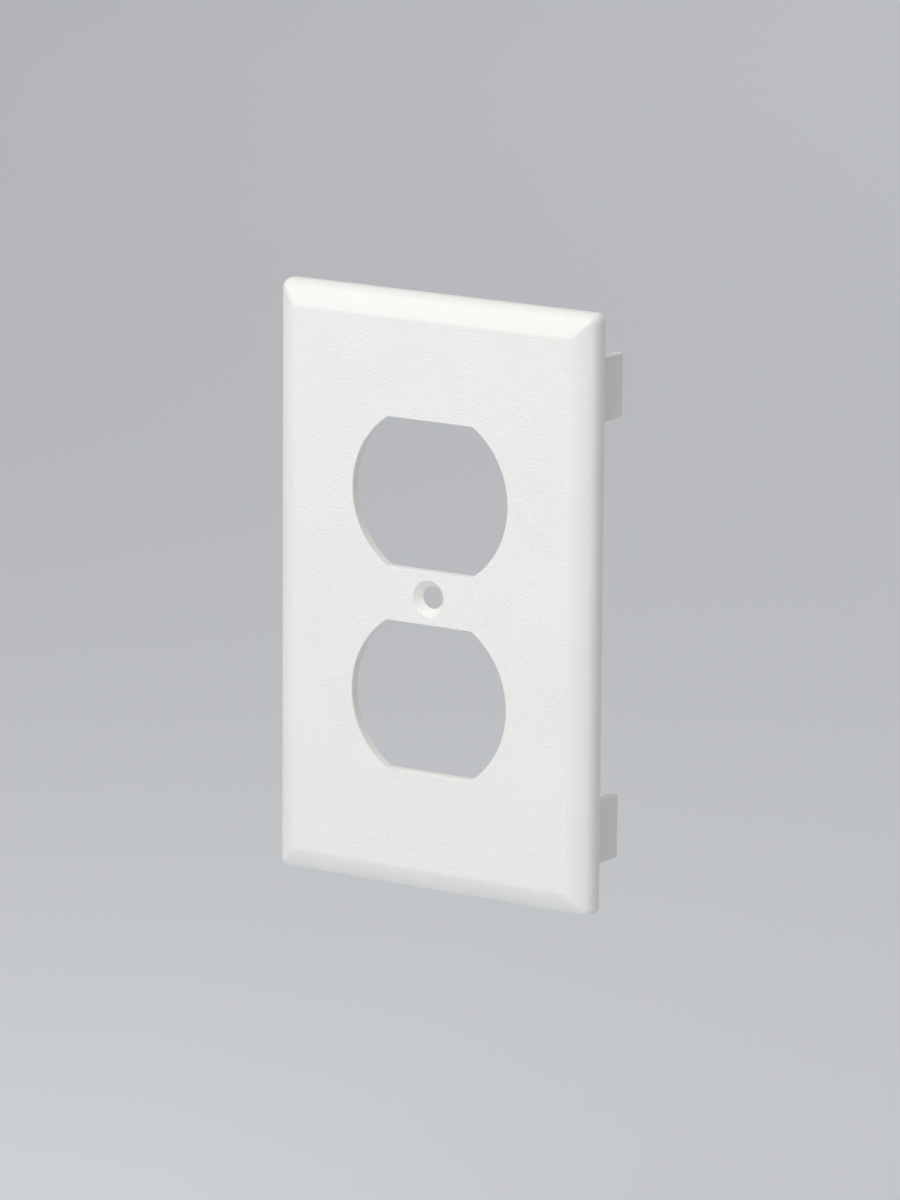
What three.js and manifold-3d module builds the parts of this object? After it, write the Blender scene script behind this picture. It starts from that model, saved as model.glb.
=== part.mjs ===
// A one-gang duplex wall plate: a hollow moulded cover with two receptacle openings, a countersunk
// hole for its one screw, and four flat legs behind it that spring into a bracket or raceway.
// Millimetres. +X is to the right seen from the front, +Y runs into the wall, +Z is up.
// The origin is on the axis of the screw hole, in the plane of the rim that meets the wall.
import * as THREE from "three";
import { mergeVertices } from "three/addons/utils/BufferGeometryUtils.js";
import Module from "manifold-3d";

// The plate's outside.
const PLATE_WIDTH = 69.85;
const PLATE_HEIGHT = 114.3;
const PLATE_DEPTH = 5.1; // from the flat front field to the rim
const CORNER_RADIUS = 1.8; // of the outline, seen from the front
const MITRE_RADIUS = 0.6; // what is left of it at the flat field's corners
const CORNER_STEPS = 6;

// The edge, from the flat field outwards: a crease, a gently crowned bevel, then a round onto the side.
const CREASE_ANGLE = THREE.MathUtils.degToRad(16);
const SHOULDER_ANGLE = THREE.MathUtils.degToRad(38);
const BEVEL_RADIUS = 10.2;
const ROUND_RADIUS = 2.95;
const BEVEL_STEPS = 4;
const ROUND_STEPS = 6;

// The hollow back.
const WALL = 2.0;
const RIM_WIDTH = 1.6; // the flat ring that rests on the wall
const RIB_THICKNESS = 1.2;
const RIB_TOP = -1.3; // how near the ribs come to the wall plane
const SIDE_RIB_X = 24.5;

// The duplex openings: circles with their tops and bottoms cut flat.
const OPENING_RADIUS = 17.06;
const OPENING_HALF_HEIGHT = 14.29;
const OPENING_SPACING = 38.9; // between the two centres
const OPENING_STEPS = 22;

// The hole for an oval-head screw, and the ring behind it that bears on the receptacle's strap.
const HOLE_RADIUS = 2.15;
const COUNTERSINK_RADIUS = 3.5;
const COUNTERSINK_HALF_ANGLE = THREE.MathUtils.degToRad(41);
const RING_INNER_RADIUS = 3.3;
const RING_OUTER_RADIUS = 4.45;
const RING_TOP = -1.9;
const HOLE_WALL = 1.6; // what is left of the front wall inside the ring
const ROUND_SEGMENTS = 40;

// The four legs.
const LEG_THICKNESS = 1.8;
const LEG_HEIGHT = 12.3; // along Z
const LEG_REACH = 9.5; // past the rim
const LEG_CHAMFER = 0.35;
const LEG_FACE_X = 33.0; // outer face, from the centre line
const LEG_CENTRE_Z = 42.1;
const LEG_START = 0.05; // the leg's foot
const FLEX_GAP = 0.3; // between the foot and the seat that it flexes on

const CUT_MARGIN = 1; // how far a cutter runs past what it cuts
const FRONT_Y = -PLATE_DEPTH;
const FLOOR_Y = FRONT_Y + WALL;
const FOOT_Y = FLOOR_Y - WALL / 2; // ribs, ring and seats start inside the front wall
const SEAT_Y = LEG_START - FLEX_GAP;
const MERGE_DISTANCE = 1e-4;

// The plastic.
const PLASTIC_COLOUR = 0xe8eae7;
const PLATE_ROUGHNESS = 0.45;
const LEG_ROUGHNESS = 0.4;

const wasm = await Module();
wasm.setup();

// A closed three.js geometry as a solid that can be joined and cut.
function solidOf(geometry) {
  const bare = geometry.clone();
  bare.deleteAttribute("normal");
  bare.deleteAttribute("uv");
  const merged = mergeVertices(bare, MERGE_DISTANCE);
  return new wasm.Manifold(
    new wasm.Mesh({
      numProp: 3,
      vertProperties: merged.attributes.position.array,
      triVerts: new Uint32Array(merged.index.array),
    }),
  );
}

// The solid back as a flat-shaded three.js geometry.
function geometryOf(solid) {
  const mesh = solid.getMesh();
  const indexed = new THREE.BufferGeometry()
    .setAttribute("position", new THREE.BufferAttribute(new Float32Array(mesh.vertProperties), 3))
    .setIndex(new THREE.BufferAttribute(new Uint32Array(mesh.triVerts), 1));
  const flat = indexed.toNonIndexed();
  flat.computeVertexNormals();
  return flat;
}

// One rounded rectangle at depth y, its points anticlockwise seen from the front.
function outlineAt(inset, y) {
  const radius = Math.max(CORNER_RADIUS - inset, MITRE_RADIUS);
  const centreX = PLATE_WIDTH / 2 - inset - radius;
  const centreZ = PLATE_HEIGHT / 2 - inset - radius;
  const signs = [[1, 1], [-1, 1], [-1, -1], [1, -1]];
  return signs.flatMap(([sx, sz], corner) =>
    Array.from({ length: CORNER_STEPS + 1 }, (_, step) => {
      const angle = (corner + step / CORNER_STEPS) * (Math.PI / 2);
      return new THREE.Vector3(
        sx * centreX + radius * Math.cos(angle),
        y,
        sz * centreZ + radius * Math.sin(angle),
      );
    }),
  );
}

// A closed solid through a row of outlines, given from the wall side (high y) to the front (low y).
function loftOf(rings) {
  const count = rings[0].length;
  const points = rings.flat();
  const faces = [];
  for (let ring = 0; ring < rings.length - 1; ring++) {
    for (let i = 0; i < count; i++) {
      const a = ring * count + i;
      const b = ring * count + ((i + 1) % count);
      faces.push(a, b, b + count, a, b + count, a + count);
    }
  }
  const last = (rings.length - 1) * count;
  const backCentre = points.push(new THREE.Vector3(0, rings[0][0].y, 0)) - 1;
  const frontCentre = points.push(new THREE.Vector3(0, rings.at(-1)[0].y, 0)) - 1;
  for (let i = 0; i < count; i++) {
    const next = (i + 1) % count;
    faces.push(backCentre, next, i);
    faces.push(frontCentre, last + i, last + next);
  }
  return new THREE.BufferGeometry().setFromPoints(points).setIndex(faces);
}

// The edge's cross-section as [inset from the side, y], at a distance inside the outer surface.
function edgeProfile(inside) {
  const roundTurn = 1 - Math.sin(SHOULDER_ANGLE);
  const shoulderInset = ROUND_RADIUS * roundTurn;
  const bevelWidth = BEVEL_RADIUS * (Math.sin(SHOULDER_ANGLE) - Math.sin(CREASE_ANGLE));
  const crease = { inset: shoulderInset + bevelWidth, y: FRONT_Y };
  const bevelCentre = {
    inset: crease.inset + BEVEL_RADIUS * Math.sin(CREASE_ANGLE),
    y: crease.y + BEVEL_RADIUS * Math.cos(CREASE_ANGLE),
  };
  const shoulderY = bevelCentre.y - BEVEL_RADIUS * Math.cos(SHOULDER_ANGLE);
  const roundCentre = {
    inset: ROUND_RADIUS,
    y: shoulderY + ROUND_RADIUS * Math.cos(SHOULDER_ANGLE),
  };
  const pointOn = (centre, radius, angle) => [
    centre.inset - (radius - inside) * Math.sin(angle),
    centre.y - (radius - inside) * Math.cos(angle),
  ];
  const profile = [];
  for (let i = 0; i < ROUND_STEPS; i++) {
    const angle = THREE.MathUtils.lerp(Math.PI / 2, SHOULDER_ANGLE, i / ROUND_STEPS);
    profile.push(pointOn(roundCentre, ROUND_RADIUS, angle));
  }
  for (let i = 0; i <= BEVEL_STEPS; i++) {
    const angle = THREE.MathUtils.lerp(SHOULDER_ANGLE, CREASE_ANGLE, i / BEVEL_STEPS);
    profile.push(pointOn(bevelCentre, BEVEL_RADIUS, angle));
  }
  return profile;
}

function outerBlock() {
  const rings = [outlineAt(0, 0)];
  edgeProfile(0).forEach(([inset, y]) => rings.push(outlineAt(inset, y)));
  return solidOf(loftOf(rings));
}

// The space behind the front wall. Its sides lean in a little from the rim, so that it leaves the mould.
function cavity() {
  const rings = [outlineAt(RIM_WIDTH, CUT_MARGIN), outlineAt(RIM_WIDTH, 0)];
  edgeProfile(WALL).forEach(([inset, y]) => rings.push(outlineAt(inset, Math.max(y, FLOOR_Y))));
  return solidOf(loftOf(rings));
}

function openingCutter(centreZ) {
  const flat = Math.asin(OPENING_HALF_HEIGHT / OPENING_RADIUS);
  const shape = new THREE.Shape()
    .absarc(0, 0, OPENING_RADIUS, -flat, flat, false)
    .absarc(0, 0, OPENING_RADIUS, Math.PI - flat, Math.PI + flat, false);
  shape.closePath();
  const geometry = new THREE.ExtrudeGeometry(shape, {
    depth: PLATE_DEPTH + 2 * CUT_MARGIN,
    bevelEnabled: false,
    curveSegments: OPENING_STEPS,
  });
  geometry.rotateX(Math.PI / 2).translate(0, CUT_MARGIN, centreZ);
  return solidOf(geometry);
}

// The countersink, the hole, and the wider bore inside the ring.
function screwHoleCutter() {
  const coneDepth = (COUNTERSINK_RADIUS - HOLE_RADIUS) / Math.tan(COUNTERSINK_HALF_ANGLE);
  const boreFloor = FRONT_Y + HOLE_WALL;
  const profile = [
    new THREE.Vector2(0, FRONT_Y - CUT_MARGIN),
    new THREE.Vector2(COUNTERSINK_RADIUS, FRONT_Y - CUT_MARGIN),
    new THREE.Vector2(COUNTERSINK_RADIUS, FRONT_Y),
    new THREE.Vector2(HOLE_RADIUS, FRONT_Y + coneDepth),
    new THREE.Vector2(HOLE_RADIUS, boreFloor),
    new THREE.Vector2(RING_INNER_RADIUS, boreFloor),
    new THREE.Vector2(RING_INNER_RADIUS, CUT_MARGIN),
    new THREE.Vector2(0, CUT_MARGIN),
  ];
  return solidOf(new THREE.LatheGeometry(profile, ROUND_SEGMENTS));
}

// The boss that the bore above turns into a ring.
function strapBoss() {
  const profile = [
    new THREE.Vector2(0, FOOT_Y),
    new THREE.Vector2(RING_OUTER_RADIUS, FOOT_Y),
    new THREE.Vector2(RING_OUTER_RADIUS, RING_TOP),
    new THREE.Vector2(0, RING_TOP),
  ];
  return solidOf(new THREE.LatheGeometry(profile, ROUND_SEGMENTS));
}

// A box between two corners.
function block(low, high) {
  const size = high.map((value, i) => value - low[i]);
  const geometry = new THREE.BoxGeometry(...size);
  geometry.translate(...low.map((value, i) => value + size[i] / 2));
  return solidOf(geometry);
}

// Ribs on the back of the front wall, and the seat that each leg stands on.
function backFeatures() {
  const half = RIB_THICKNESS / 2;
  const legInnerX = LEG_FACE_X - LEG_THICKNESS;
  const insideRimX = PLATE_WIDTH / 2 - RIM_WIDTH;
  const solids = [strapBoss()];
  for (const sz of [1, -1]) {
    const ribZ = sz * LEG_CENTRE_Z;
    solids.push(block([-legInnerX - half, FOOT_Y, ribZ - half], [legInnerX + half, RIB_TOP, ribZ + half]));
  }
  for (const sx of [1, -1]) {
    const ribX = sx * SIDE_RIB_X;
    solids.push(block([ribX - half, FOOT_Y, -LEG_CENTRE_Z], [ribX + half, RIB_TOP, LEG_CENTRE_Z]));
    for (const sz of [1, -1]) {
      const xs = [sx * legInnerX, sx * (insideRimX + half)].sort((a, b) => a - b);
      const zs = [sz * LEG_CENTRE_Z - LEG_HEIGHT / 2, sz * LEG_CENTRE_Z + LEG_HEIGHT / 2];
      solids.push(block([xs[0], FOOT_Y, zs[0]], [xs[1], SEAT_Y, zs[1]]));
    }
  }
  return solids.reduce((joined, next) => joined.add(next));
}

function facePlate() {
  const outer = outerBlock();
  const openings = openingCutter(OPENING_SPACING / 2).add(openingCutter(-OPENING_SPACING / 2));
  const shell = outer
    .subtract(cavity())
    .add(backFeatures().intersect(outer))
    .subtract(openings)
    .subtract(screwHoleCutter());
  return geometryOf(shell);
}

// One leg, its foot at the origin and its free end towards +Y.
function leg() {
  const half = LEG_THICKNESS / 2;
  const length = LEG_REACH - LEG_START;
  const shape = new THREE.Shape([
    new THREE.Vector2(-half, 0),
    new THREE.Vector2(half, 0),
    new THREE.Vector2(half, length - LEG_CHAMFER),
    new THREE.Vector2(half - LEG_CHAMFER, length),
    new THREE.Vector2(-half + LEG_CHAMFER, length),
    new THREE.Vector2(-half, length - LEG_CHAMFER),
  ]);
  const geometry = new THREE.ExtrudeGeometry(shape, { depth: LEG_HEIGHT, bevelEnabled: false });
  return geometry.translate(0, 0, -LEG_HEIGHT / 2);
}

function whitePlastic(roughness) {
  return new THREE.MeshStandardMaterial({ color: PLASTIC_COLOUR, roughness, metalness: 0 });
}

const wallPlate = new THREE.Group();

const plateMesh = new THREE.Mesh(facePlate(), whitePlastic(PLATE_ROUGHNESS));
plateMesh.name = "face_plate";
wallPlate.add(plateMesh);

for (const [level, sz] of [["upper", 1], ["lower", -1]]) {
  for (const [side, sx] of [["left", -1], ["right", 1]]) {
    const mesh = new THREE.Mesh(leg(), whitePlastic(LEG_ROUGHNESS));
    mesh.name = `leg_${level}_${side}`;
    mesh.position.set(sx * (LEG_FACE_X - LEG_THICKNESS / 2), LEG_START, sz * LEG_CENTRE_Z);
    wallPlate.add(mesh);
  }
}

export default wallPlate;
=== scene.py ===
# A one-gang duplex wall plate, built around its imported CAD frame: one moulded shell, and four thin
# legs. +X is to the right seen from the front, +Y runs into the wall, +Z is up.
# The origin is on the axis of the screw hole, in the plane of the rim. The shapes' numbers are in
# millimetres, and everything in the scene is in metres.
import math

import bmesh
import bpy
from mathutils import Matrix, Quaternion, Vector


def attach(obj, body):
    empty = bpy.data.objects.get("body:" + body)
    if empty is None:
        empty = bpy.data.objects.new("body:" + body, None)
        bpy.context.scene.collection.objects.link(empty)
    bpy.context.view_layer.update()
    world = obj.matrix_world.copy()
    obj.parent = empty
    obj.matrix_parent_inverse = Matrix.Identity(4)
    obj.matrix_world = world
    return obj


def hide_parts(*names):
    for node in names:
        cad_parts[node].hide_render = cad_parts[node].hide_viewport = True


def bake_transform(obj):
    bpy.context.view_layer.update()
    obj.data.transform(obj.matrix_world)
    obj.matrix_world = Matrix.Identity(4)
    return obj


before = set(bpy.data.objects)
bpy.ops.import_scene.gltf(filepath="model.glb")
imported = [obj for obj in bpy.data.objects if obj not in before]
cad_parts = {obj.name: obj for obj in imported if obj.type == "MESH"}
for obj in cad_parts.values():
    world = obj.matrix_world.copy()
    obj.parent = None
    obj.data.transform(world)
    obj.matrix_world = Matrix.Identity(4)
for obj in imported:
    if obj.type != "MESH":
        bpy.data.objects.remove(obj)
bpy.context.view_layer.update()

MM = 0.001

# The plate's outside.
PLATE_WIDTH = 69.85
PLATE_HEIGHT = 114.3
PLATE_DEPTH = 5.1
CORNER_RADIUS = 1.8
MITRE_RADIUS = 0.6
CORNER_STEPS = 10

# The edge's section: a crease, a crowned bevel, a round onto the side, then the rim.
CREASE_ANGLE = math.radians(16)
SHOULDER_ANGLE = math.radians(38)
SIDE_ANGLE = math.radians(90)
BEVEL_RADIUS = 10.2
ROUND_RADIUS = 2.95
CREASE_RADIUS = 2.0
ROUND_STEPS = 12
BEVEL_STEPS = 8
CREASE_STEPS = 6
WALL = 2.0
RIM_WIDTH = 1.6
RIM_ROUND = 0.15

# The duplex openings.
OPENING_RADIUS = 17.06
OPENING_HALF_HEIGHT = 14.29
OPENING_SPACING = 38.9
OPENING_FRONT_ROUND = 0.25
OPENING_BACK_ROUND = 0.12
OPENING_STEPS = 48

# The screw hole and the ring behind it.
HOLE_RADIUS = 2.15
COUNTERSINK_RADIUS = 3.5
COUNTERSINK_HALF_ANGLE = math.radians(41)
HOLE_ROUND = 0.15
RING_INNER_RADIUS = 3.3
RING_OUTER_RADIUS = 4.45
RING_TOP = -1.9
HOLE_WALL = 1.6
CIRCLE_STEPS = 72

# The ribs, and the seats that the legs stand on.
RIB_HALF_THICKNESS = 0.6
RIB_TOP = -1.3
SIDE_RIB_STEP = 0.05
SIDE_RIB_X = 24.5
DRAFT = 0.08
FILLET = 0.4
EDGE_ROUND = 0.2
BOSS_CORNER_RADIUS = 1.5 * EDGE_ROUND
SEAT_Y = -0.25
SEAT_LEDGE = 0.5
SEAT_OUTER_X = 33.9

# The legs.
LEG_THICKNESS = 1.8
LEG_HEIGHT = 12.3
LEG_REACH = 9.5
LEG_FACE_X = 33.0
LEG_X = LEG_FACE_X - LEG_THICKNESS / 2
LEG_CENTRE_Z = 42.1
LEG_EDGE_ROUND = 0.4
LEG_TIP_ROUND = 0.15
LEG_ROOT_FILLET = 0.35
LEG_ROOT_DEPTH = 0.8
LEG_RINGS = 24

# Marks of the ejector pins on the floor of the hollow, as (x, z) for one quarter of the plate.
PIN_RADIUS = 1.5
PIN_DEPTH = 0.1
PIN_PLACES = [(27.9, 22.0), (12.0, 47.8), (20.7, 2.6)]
QUARTERS = [(sx, sz) for sx in (-1, 1) for sz in (-1, 1)]

# Levels along Y, and how the solids are joined, cut and shaded.
FRONT_Y = -PLATE_DEPTH
FLOOR_Y = FRONT_Y + WALL
FOOT_Y = FLOOR_Y - WALL / 2
CUT_MARGIN = 1.0
CORE_SHARE = 0.4
TOE_ANGLE = math.radians(75)  # a round or fillet stops here and runs on straight, so that surfaces cross
TOE_LENGTH = 0.3
SMALL_ROUND_STEPS = 4
SHORTEST_EDGE = 0.003
SHARP_ANGLE = math.radians(32)

# The camera: where it stands round the object, and the point it looks at.
CAMERA_AZIMUTH = math.radians(32.32)
CAMERA_ELEVATION = math.radians(12.66)
CAMERA_ROLL = math.radians(0.38)
CAMERA_DISTANCE = 1.4
CAMERA_LENS = 224.7
CAMERA_SENSOR = 36.0
CAMERA_TARGET = Vector((0.00339, -0.00299, -0.00015))

# The stage.
FLOOR_LEVEL = -0.16
FLOOR_HALF_SIZE = 30.0
WORLD_COLOUR = (1.0, 1.0, 1.0, 1.0)
WORLD_STRENGTH = 0.30
LIGHT_DISTANCE = 0.9
LIGHT_SIZE = 0.7
LIGHTS = [
    # name, azimuth and elevation in degrees, watts
    ("front_softbox", 0, 20, 2.4),
    ("left_softbox", -30, 50, 1.55),
    ("right_softbox", 10, 50, 2.9),
    ("overhead_softbox", 0, 85, 0.9),
]
FLOOR_LIGHT_PLACE = Vector((0.0, 2.4, 1.1))
FLOOR_LIGHT_SIZE = 3.0
FLOOR_LIGHT_WATTS = 18.0

# The plastics, in linear colour. Scales are per metre, depths are in metres, and a noise is its scale,
# its detail and its roughness.
PLATE_LIGHT = (0.835, 0.84, 0.81, 1.0)
PLATE_DARK = (0.815, 0.822, 0.79, 1.0)
# The legs' two tones are the plate's white made a little darker: painted shade for the legs that stand
# behind the plate.
SHADED_LEG_LIGHT = (0.81, 0.82, 0.78, 1.0)
SHADED_LEG_DARK = (0.79, 0.80, 0.76, 1.0)
PLASTIC_IOR = 1.49
LEAST_ROUGHNESS = 0.42
MOST_ROUGHNESS = 0.52
BLOTCH_NOISE = (60.0, 3.0, 0.6)
BLOTCH_RANGE = (0.35, 0.65)
SHEEN_NOISE = (420.0, 3.0, 0.5)
GRAIN_NOISE = (2600.0, 1.5, 0.55)
GRAIN_DEPTH = 0.00018
FACE_GRAIN = 0.9
EDGE_GRAIN = 0.06
WAVE_NOISE = (90.0, 1.0, 0.5)
WAVE_DEPTH = 0.00006
FIELD_START = FRONT_Y * MM + 0.00002
FIELD_END = FRONT_Y * MM + 0.00007
RAGGED_NOISE = (900.0, 2.0, 0.5)
RAGGED_DEPTH = 0.00002
NOISE_RANGE = (0.3, 0.7)
SPECK_SCALE = 55.0
SPECK_SIZE = 0.012
SPECK_CORE = 0.5
SPECK_RARITY = 0.75
SPECK_DEPTH = 0.35
SPECK_COLOUR = (0.45, 0.42, 0.36, 1.0)

# The stage's paint, in the same units.
STAGE_LIGHT = (0.78, 0.80, 0.83, 1.0)
STAGE_DARK = (0.75, 0.77, 0.80, 1.0)
STAGE_NOISE = (1.5, 2.0, 0.5)
STAGE_ROUGHNESS = 0.9

# The sockets of a Mix node that mixes colours.
MIX_SHARE = 0
MIX_FIRST = 6
MIX_SECOND = 7
MIX_RESULT = 2


# ---------------------------------------------------------------- shapes

def object_from(name, points, faces):
    """A mesh object in metres from points in millimetres."""
    mesh = bpy.data.meshes.new(name)
    mesh.from_pydata([Vector(p) * MM for p in points], [], faces)
    made = bpy.data.objects.new(name, mesh)
    bpy.context.scene.collection.objects.link(made)
    return made


def loft(name, rings):
    """A closed solid through rings of points, each anticlockwise seen from the front."""
    count = len(rings[0])
    points = [point for ring in rings for point in ring]
    faces = [tuple(reversed(range(count)))]
    for start in range(0, len(points) - count, count):
        for i in range(count):
            a = start + i
            b = start + (i + 1) % count
            faces.append((a, b, b + count, a + count))
    faces.append(tuple(range(len(points) - count, len(points))))
    return object_from(name, points, faces)


def rounded_rectangle(half_x, half_z, radius, y, centre=(0, 0)):
    points = []
    for corner, (sx, sz) in enumerate([(1, 1), (-1, 1), (-1, -1), (1, -1)]):
        for step in range(CORNER_STEPS + 1):
            angle = (corner + step / CORNER_STEPS) * math.pi / 2
            x = sx * (half_x - radius) + radius * math.cos(angle)
            z = sz * (half_z - radius) + radius * math.sin(angle)
            points.append((centre[0] + x, y, centre[1] + z))
    return points


def circle(radius, y, centre=(0, 0)):
    points = []
    for step in range(CIRCLE_STEPS):
        angle = 2 * math.pi * step / CIRCLE_STEPS
        points.append((centre[0] + radius * math.cos(angle), y, centre[1] + radius * math.sin(angle)))
    return points


def duplex_outline(offset, y, centre_z):
    """An opening's outline: a circle with its top and bottom cut flat."""
    radius = OPENING_RADIUS + offset
    flat = math.asin((OPENING_HALF_HEIGHT + offset) / radius)
    points = []
    for middle in (0, math.pi):
        for step in range(OPENING_STEPS + 1):
            angle = middle + flat * (2 * step / OPENING_STEPS - 1)
            points.append((radius * math.cos(angle), y, centre_z + radius * math.sin(angle)))
    return points


def plate_outline(inset, y):
    radius = max(CORNER_RADIUS - inset, MITRE_RADIUS)
    return rounded_rectangle(PLATE_WIDTH / 2 - inset, PLATE_HEIGHT / 2 - inset, radius, y)


def arc(centre, radius, start, end, steps):
    """Points of the edge's section as (inset, y). Angle 0 faces the front, and 90 degrees the side."""
    points = []
    for step in range(steps + 1):
        angle = start + (end - start) * step / steps
        points.append((centre[0] - radius * math.sin(angle), centre[1] - radius * math.cos(angle)))
    return points


def softened(before, corner, after, radius):
    """A section's corner, rounded off between its two neighbours."""
    start, middle, end = (Vector(p) for p in (before, corner, after))
    start = middle + (start - middle).normalized() * radius
    end = middle + (end - middle).normalized() * radius
    points = []
    for step in range(SMALL_ROUND_STEPS + 1):
        t = step / SMALL_ROUND_STEPS
        points.append(tuple(start * (1 - t) ** 2 + middle * 2 * t * (1 - t) + end * t**2))
    return points


def edge_section(inside):
    """The edge at a depth inside the outer surface, from the side to the flat field, as (inset, y)."""
    round_turn = 1 - math.sin(SHOULDER_ANGLE)
    bevel_width = BEVEL_RADIUS * (math.sin(SHOULDER_ANGLE) - math.sin(CREASE_ANGLE))
    crease_inset = ROUND_RADIUS * round_turn + bevel_width
    bevel = (
        crease_inset + BEVEL_RADIUS * math.sin(CREASE_ANGLE),
        FRONT_Y + BEVEL_RADIUS * math.cos(CREASE_ANGLE),
    )
    shoulder_y = bevel[1] - BEVEL_RADIUS * math.cos(SHOULDER_ANGLE)
    side = (ROUND_RADIUS, shoulder_y + ROUND_RADIUS * math.cos(SHOULDER_ANGLE))
    soft_y = FRONT_Y + CREASE_RADIUS
    soft_angle = math.acos((bevel[1] - soft_y) / (BEVEL_RADIUS - CREASE_RADIUS))
    soft = (bevel[0] - (BEVEL_RADIUS - CREASE_RADIUS) * math.sin(soft_angle), soft_y)
    section = arc(side, ROUND_RADIUS - inside, SIDE_ANGLE, SHOULDER_ANGLE, ROUND_STEPS)
    section += arc(bevel, BEVEL_RADIUS - inside, SHOULDER_ANGLE, soft_angle, BEVEL_STEPS)[1:]
    if inside < CREASE_RADIUS:
        section += arc(soft, CREASE_RADIUS - inside, soft_angle, 0, CREASE_STEPS)[1:]
    return section


def shell_section():
    """From the floor of the hollow, over the rim, to the flat field in front."""
    hollow = list(reversed(edge_section(WALL)))
    outside = edge_section(0)
    inner_edge = (RIM_WIDTH, 0)
    outer_edge = (0, 0)
    rim = softened(hollow[-1], inner_edge, outer_edge, RIM_ROUND)
    rim += softened(inner_edge, outer_edge, outside[0], RIM_ROUND)
    return hollow + rim + outside


def core_block():
    """The plate filled in and shrunk by part of its wall, to trim what would stick out through it."""
    inside = WALL * CORE_SHARE
    section = edge_section(inside)
    section.insert(0, (section[0][0], CUT_MARGIN))
    return loft("core_block", [plate_outline(inset, y) for inset, y in section])


def flare(radius, surface_y, way):
    """How a wall opens out as it meets a surface, as (offset, y) from the wall to past the surface.

    way is 1 or -1, for the way along Y from the wall to the surface.
    """
    centre_y = surface_y - way * radius * math.sin(TOE_ANGLE)
    points = []
    for step in range(SMALL_ROUND_STEPS + 1):
        angle = TOE_ANGLE * step / SMALL_ROUND_STEPS
        points.append((radius * (1 - math.cos(angle)), centre_y + way * radius * math.sin(angle)))
    offset, y = points[-1]
    toe = (offset + TOE_LENGTH * math.sin(TOE_ANGLE), y + way * TOE_LENGTH * math.cos(TOE_ANGLE))
    return points + [toe]


def crown(top_y, radius):
    """A rounded top edge, as (offset, y) from the top down to the wall."""
    points = []
    for step in range(SMALL_ROUND_STEPS + 1):
        angle = step / SMALL_ROUND_STEPS * math.pi / 2
        points.append((radius * (math.sin(angle) - 1), top_y - radius * (1 - math.cos(angle))))
    return points


def boss_section(top_y):
    """A boss from its rounded top, down a wall with some draft, to a filleted foot, as (offset, y)."""
    foot = [(DRAFT + offset, y) for offset, y in flare(FILLET, FLOOR_Y, -1)]
    return crown(top_y, EDGE_ROUND) + foot + [(foot[-1][0], FOOT_Y)]


def rectangular_boss(name, half_x, half_z, centre, top_y):
    rings = []
    for offset, y in boss_section(top_y):
        radius = BOSS_CORNER_RADIUS + offset
        rings.append(rounded_rectangle(half_x + offset, half_z + offset, radius, y, centre))
    return loft(name, rings)


def round_boss(name, radius, top_y):
    return loft(name, [circle(radius + offset, y) for offset, y in boss_section(top_y)])


def opening_cutter(centre_z):
    back = list(reversed(flare(OPENING_BACK_ROUND, FLOOR_Y, 1)))
    front = flare(OPENING_FRONT_ROUND, FRONT_Y, -1)
    section = [(back[0][0], CUT_MARGIN)] + back + front + [(front[-1][0], FRONT_Y - CUT_MARGIN)]
    return loft("opening_cutter", [duplex_outline(offset, y, centre_z) for offset, y in section])


def screw_hole_cutter():
    """The countersink, the hole, and the wider bore inside the ring behind them."""
    bore_floor = FRONT_Y + HOLE_WALL
    cone_depth = (COUNTERSINK_RADIUS - HOLE_RADIUS) / math.tan(COUNTERSINK_HALF_ANGLE)
    cone_end = (HOLE_RADIUS, FRONT_Y + cone_depth)
    mouth = (COUNTERSINK_RADIUS, FRONT_Y)
    past_mouth = (COUNTERSINK_RADIUS + CUT_MARGIN, FRONT_Y - CUT_MARGIN / math.tan(TOE_ANGLE))
    section = [(RING_INNER_RADIUS + offset, y) for offset, y in reversed(flare(HOLE_ROUND, RING_TOP, 1))]
    section.insert(0, (section[0][0], CUT_MARGIN))
    section += [(RING_INNER_RADIUS, bore_floor), (HOLE_RADIUS, bore_floor), cone_end]
    section += softened(cone_end, mouth, past_mouth, HOLE_ROUND)
    section.append((section[-1][0] + CUT_MARGIN, FRONT_Y - CUT_MARGIN))
    return loft("screw_hole_cutter", [circle(radius, y) for radius, y in section])


def pin_cutter(x, z):
    return loft("pin_cutter", [circle(PIN_RADIUS, y, (x, z)) for y in (CUT_MARGIN, FLOOR_Y - PIN_DEPTH)])


def combine(base, tools, operation):
    """Joins the tools to the base or cuts them from it, and removes them."""
    for tool in tools:
        step = base.modifiers.new(tool.name, "BOOLEAN")
        step.operation = operation
        step.solver = "MANIFOLD"
        step.object = tool
    evaluated = base.evaluated_get(bpy.context.evaluated_depsgraph_get())
    made = bpy.data.meshes.new_from_object(evaluated)
    base.modifiers.clear()
    base.data = made
    for tool in tools:
        bpy.data.objects.remove(tool)
    return base


def tidy(piece):
    """Closes up the shortest edges that a cut leaves."""
    work = bmesh.new()
    work.from_mesh(piece.data)
    bmesh.ops.dissolve_degenerate(work, dist=SHORTEST_EDGE * MM, edges=work.edges)
    work.to_mesh(piece.data)
    work.free()


def smooth(piece):
    """Smooth shading that keeps flat faces flat and the sharp edges sharp."""
    piece.data.shade_smooth()
    piece.data.set_sharp_from_angle(angle=SHARP_ANGLE)
    weighted = piece.modifiers.new("weighted_normals", "WEIGHTED_NORMAL")
    weighted.keep_sharp = True
    return piece


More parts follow.
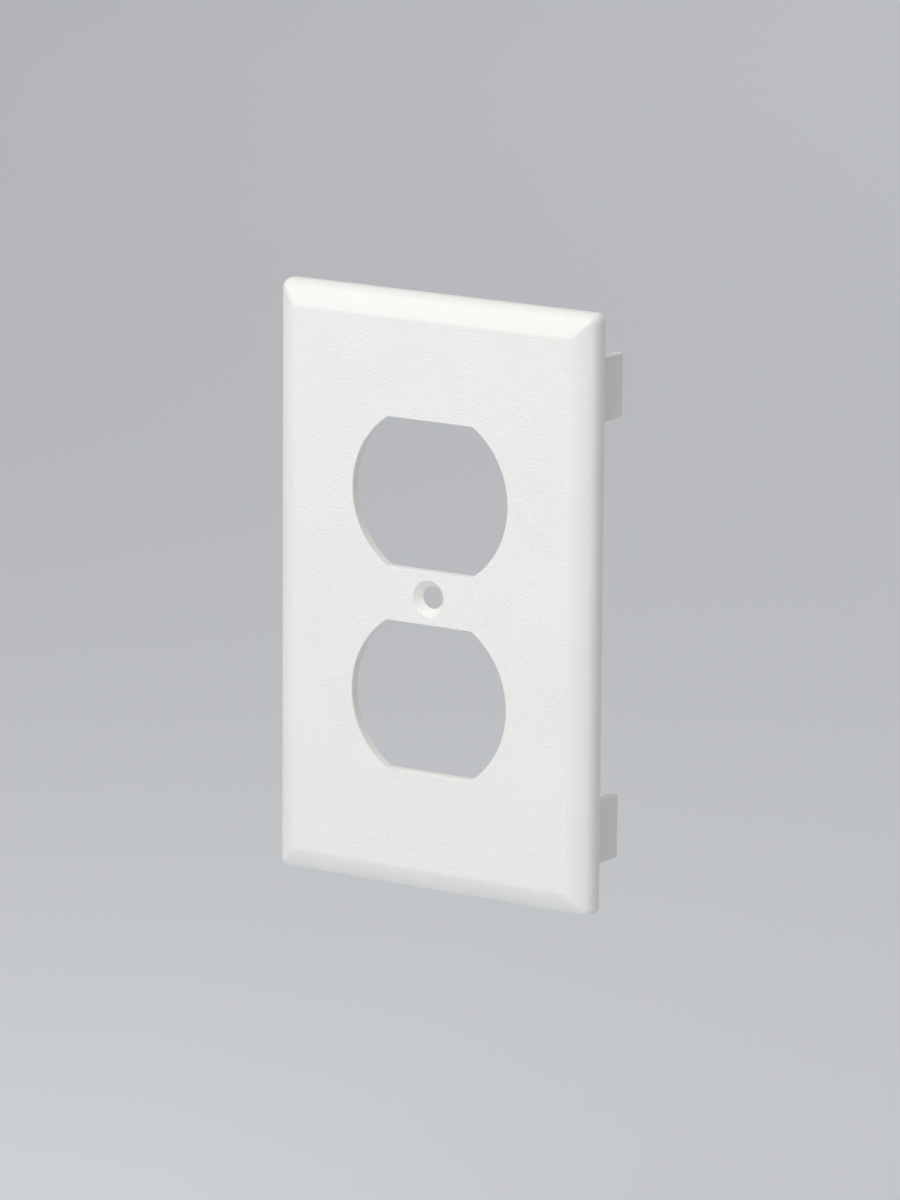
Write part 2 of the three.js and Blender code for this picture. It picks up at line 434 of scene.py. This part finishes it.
def backing():
    """The ring, the ribs and the seats behind the front wall, trimmed to stay inside the plate."""
    seat_inner_x = LEG_FACE_X - LEG_THICKNESS - SEAT_LEDGE
    seat_x = (seat_inner_x + SEAT_OUTER_X) / 2
    seat_half_x = (SEAT_OUTER_X - seat_inner_x) / 2
    seat_half_z = LEG_HEIGHT / 2 + SEAT_LEDGE

    bosses = [round_boss("ring", RING_OUTER_RADIUS, RING_TOP)]
    for sz in (-1, 1):
        centre = (0, sz * LEG_CENTRE_Z)
        bosses.append(rectangular_boss("cross_rib", LEG_X, RIB_HALF_THICKNESS, centre, RIB_TOP))
    for sx in (-1, 1):
        centre = (sx * SIDE_RIB_X, 0)
        top_y = RIB_TOP - SIDE_RIB_STEP
        bosses.append(rectangular_boss("side_rib", RIB_HALF_THICKNESS, LEG_CENTRE_Z, centre, top_y))
    for sx, sz in QUARTERS:
        centre = (sx * seat_x, sz * LEG_CENTRE_Z)
        bosses.append(rectangular_boss("leg_seat", seat_half_x, seat_half_z, centre, SEAT_Y))
    joined = combine(bosses[0], bosses[1:], "UNION")
    return combine(joined, [core_block()], "INTERSECT")


def plate_shell():
    shell = loft("plate_shell", [plate_outline(inset, y) for inset, y in shell_section()])
    combine(shell, [backing()], "UNION")
    cutters = [opening_cutter(sz * OPENING_SPACING / 2) for sz in (-1, 1)]
    cutters.append(screw_hole_cutter())
    cutters += [pin_cutter(sx * x, sz * z) for x, z in PIN_PLACES for sx, sz in QUARTERS]
    combine(shell, cutters, "DIFFERENCE")
    tidy(shell)
    return smooth(shell)


def leg(name, centre_x, centre_z):
    """A rounded tip, an even blade, and a filleted root that is sunk into its seat."""
    root = flare(LEG_ROOT_FILLET, SEAT_Y, -1)[:-1]
    section = crown(LEG_REACH, LEG_TIP_ROUND)
    blade_end = section[-1][1]
    for step in range(1, LEG_RINGS):
        section.append((0, blade_end + (root[0][1] - blade_end) * step / LEG_RINGS))
    section += root
    section.append((root[-1][0], -LEG_ROOT_DEPTH))
    rings = []
    for offset, y in section:
        half_x = LEG_THICKNESS / 2 + offset
        half_z = LEG_HEIGHT / 2 + offset
        radius = LEG_EDGE_ROUND + offset
        rings.append(rounded_rectangle(half_x, half_z, radius, y, (centre_x, centre_z)))
    return smooth(loft(name, rings))


# ---------------------------------------------------------------- materials

class Nodes:
    """A material's node tree, with a short way to add a node and join it up."""

    def __init__(self, name):
        self.material = bpy.data.materials.new(name)
        self.material.use_nodes = True
        self.tree = self.material.node_tree
        self.tree.nodes.clear()

    def add(self, kind, inputs=None, **settings):
        node = self.tree.nodes.new(kind)
        for name, value in settings.items():
            setattr(node, name, value)
        for key, value in (inputs or {}).items():
            if isinstance(value, bpy.types.NodeSocket):
                self.tree.links.new(value, node.inputs[key])
            else:
                node.inputs[key].default_value = value
        return node

    def noise(self, place, scale, detail, roughness):
        inputs = {"Vector": place, "Scale": scale, "Detail": detail, "Roughness": roughness}
        return self.add("ShaderNodeTexNoise", inputs).outputs["Fac"]

    def remap(self, value, low, high, to_low, to_high):
        inputs = {"Value": value, "From Min": low, "From Max": high, "To Min": to_low, "To Max": to_high}
        return self.add("ShaderNodeMapRange", inputs).outputs["Result"]

    def calculate(self, operation, a, b):
        return self.add("ShaderNodeMath", {0: a, 1: b}, operation=operation).outputs["Value"]

    def mix(self, share, a, b):
        inputs = {MIX_SHARE: share, MIX_FIRST: a, MIX_SECOND: b}
        return self.add("ShaderNodeMix", inputs, data_type="RGBA").outputs[MIX_RESULT]


def moulded_plastic(name, light, dark, grained_face):
    """White moulded plastic: faint mottling, a few specks, and a matte grain on the flat front field."""
    nodes = Nodes(name)
    place = nodes.add("ShaderNodeTexCoord").outputs["Object"]

    share = nodes.remap(nodes.noise(place, *BLOTCH_NOISE), *BLOTCH_RANGE, 0.0, 1.0)
    colour = nodes.mix(share, dark, light)
    cells = nodes.add("ShaderNodeTexVoronoi", {"Vector": place, "Scale": SPECK_SCALE})
    rare = nodes.add("ShaderNodeSeparateColor", {"Color": cells.outputs["Color"]}).outputs["Red"]
    speck = nodes.remap(cells.outputs["Distance"], SPECK_SIZE, SPECK_SIZE * SPECK_CORE, 0.0, 1.0)
    kept = nodes.calculate("GREATER_THAN", rare, SPECK_RARITY)
    speck = nodes.calculate("MULTIPLY", speck, kept)
    colour = nodes.mix(nodes.calculate("MULTIPLY", speck, SPECK_DEPTH), colour, SPECK_COLOUR)

    strength = EDGE_GRAIN
    if grained_face:
        depth = nodes.add("ShaderNodeSeparateXYZ", {"Vector": place}).outputs["Y"]
        ragged_noise = nodes.noise(place, *RAGGED_NOISE)
        ragged = nodes.remap(ragged_noise, *NOISE_RANGE, -RAGGED_DEPTH, RAGGED_DEPTH)
        level = nodes.calculate("ADD", depth, ragged)
        strength = nodes.remap(level, FIELD_END, FIELD_START, EDGE_GRAIN, FACE_GRAIN)
    sheen = nodes.noise(place, *SHEEN_NOISE)
    roughness = nodes.remap(sheen, *NOISE_RANGE, LEAST_ROUGHNESS, MOST_ROUGHNESS)
    waves = nodes.add(
        "ShaderNodeBump",
        {"Height": nodes.noise(place, *WAVE_NOISE), "Strength": 1.0, "Distance": WAVE_DEPTH},
    )
    bump = nodes.add(
        "ShaderNodeBump",
        {
            "Height": nodes.noise(place, *GRAIN_NOISE),
            "Strength": strength,
            "Distance": GRAIN_DEPTH,
            "Normal": waves.outputs["Normal"],
        },
    )
    shader = nodes.add(
        "ShaderNodeBsdfPrincipled",
        {
            "Base Color": colour,
            "Roughness": roughness,
            "IOR": PLASTIC_IOR,
            "Normal": bump.outputs["Normal"],
        },
    )
    nodes.add("ShaderNodeOutputMaterial", {"Surface": shader.outputs["BSDF"]})
    return nodes.material


def stage_paint():
    nodes = Nodes("stage_paint")
    place = nodes.add("ShaderNodeTexCoord").outputs["Object"]
    share = nodes.noise(place, *STAGE_NOISE)
    shader = nodes.add(
        "ShaderNodeBsdfPrincipled",
        {"Base Color": nodes.mix(share, STAGE_DARK, STAGE_LIGHT), "Roughness": STAGE_ROUGHNESS},
    )
    nodes.add("ShaderNodeOutputMaterial", {"Surface": shader.outputs["BSDF"]})
    return nodes.material


# ---------------------------------------------------------------- stage, lights and camera

def stage_floor():
    mesh = bpy.data.meshes.new("stage_floor")
    half = FLOOR_HALF_SIZE
    corners = [(-half, -half), (half, -half), (half, half), (-half, half)]
    mesh.from_pydata([(x, y, FLOOR_LEVEL) for x, y in corners], [], [(0, 1, 2, 3)])
    floor = bpy.data.objects.new("stage_floor", mesh)
    floor.data.materials.append(stage_paint())
    bpy.context.scene.collection.objects.link(floor)


def ambient_light():
    world = bpy.data.worlds.new("studio")
    world.use_nodes = True
    background = world.node_tree.nodes["Background"]
    background.inputs["Color"].default_value = WORLD_COLOUR
    background.inputs["Strength"].default_value = WORLD_STRENGTH
    bpy.context.scene.world = world


def direction(azimuth, elevation):
    """Away from the object: azimuth 0 is in front of it, and 90 degrees at its right."""
    level = math.cos(elevation)
    return Vector((math.sin(azimuth) * level, -math.cos(azimuth) * level, math.sin(elevation)))


def softbox(name, place, aim, size, watts):
    data = bpy.data.lights.new(name, "AREA")
    data.size = size
    data.energy = watts
    made = bpy.data.objects.new(name, data)
    made.location = place
    made.rotation_mode = "QUATERNION"
    made.rotation_quaternion = (aim - place).to_track_quat("-Z", "Y")
    bpy.context.scene.collection.objects.link(made)


def lights():
    for name, azimuth, elevation, watts in LIGHTS:
        place = direction(math.radians(azimuth), math.radians(elevation)) * LIGHT_DISTANCE
        softbox(name, place, Vector(), LIGHT_SIZE, watts)
    below = Vector((FLOOR_LIGHT_PLACE.x, FLOOR_LIGHT_PLACE.y, FLOOR_LEVEL))
    softbox("floor_softbox", FLOOR_LIGHT_PLACE, below, FLOOR_LIGHT_SIZE, FLOOR_LIGHT_WATTS)


def camera():
    data = bpy.data.cameras.new("camera")
    data.sensor_width = CAMERA_SENSOR
    data.lens = CAMERA_LENS
    made = bpy.data.objects.new("camera", data)
    outwards = direction(CAMERA_AZIMUTH, CAMERA_ELEVATION)
    made.location = CAMERA_TARGET + outwards * CAMERA_DISTANCE
    made.rotation_mode = "QUATERNION"
    made.rotation_quaternion = (-outwards).to_track_quat("-Z", "Y") @ Quaternion((0, 0, 1), CAMERA_ROLL)
    bpy.context.scene.collection.objects.link(made)
    bpy.context.scene.camera = made


# ---------------------------------------------------------------- the object

def wear(piece, material):
    piece.data.materials.clear()
    piece.data.materials.append(material)


shell = plate_shell()
wear(shell, moulded_plastic("plate_plastic", PLATE_LIGHT, PLATE_DARK, True))
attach(shell, "plate")
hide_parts("face_plate")

# The legs wear the plate's plastic with painted shade: the same white, a little darker.
shaded_leg_material = moulded_plastic("leg_plastic", SHADED_LEG_LIGHT, SHADED_LEG_DARK, False)
for level, sz in (("upper", 1), ("lower", -1)):
    for side, sx in (("left", -1), ("right", 1)):
        centre_x = sx * LEG_X
        blade = leg(f"{level}_{side}_blade", centre_x, sz * LEG_CENTRE_Z)
        wear(blade, shaded_leg_material)
        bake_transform(blade)
        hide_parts(f"leg_{level}_{side}")

stage_floor()
ambient_light()
lights()
camera()
scene = bpy.context.scene
scene.view_settings.view_transform = "Standard"
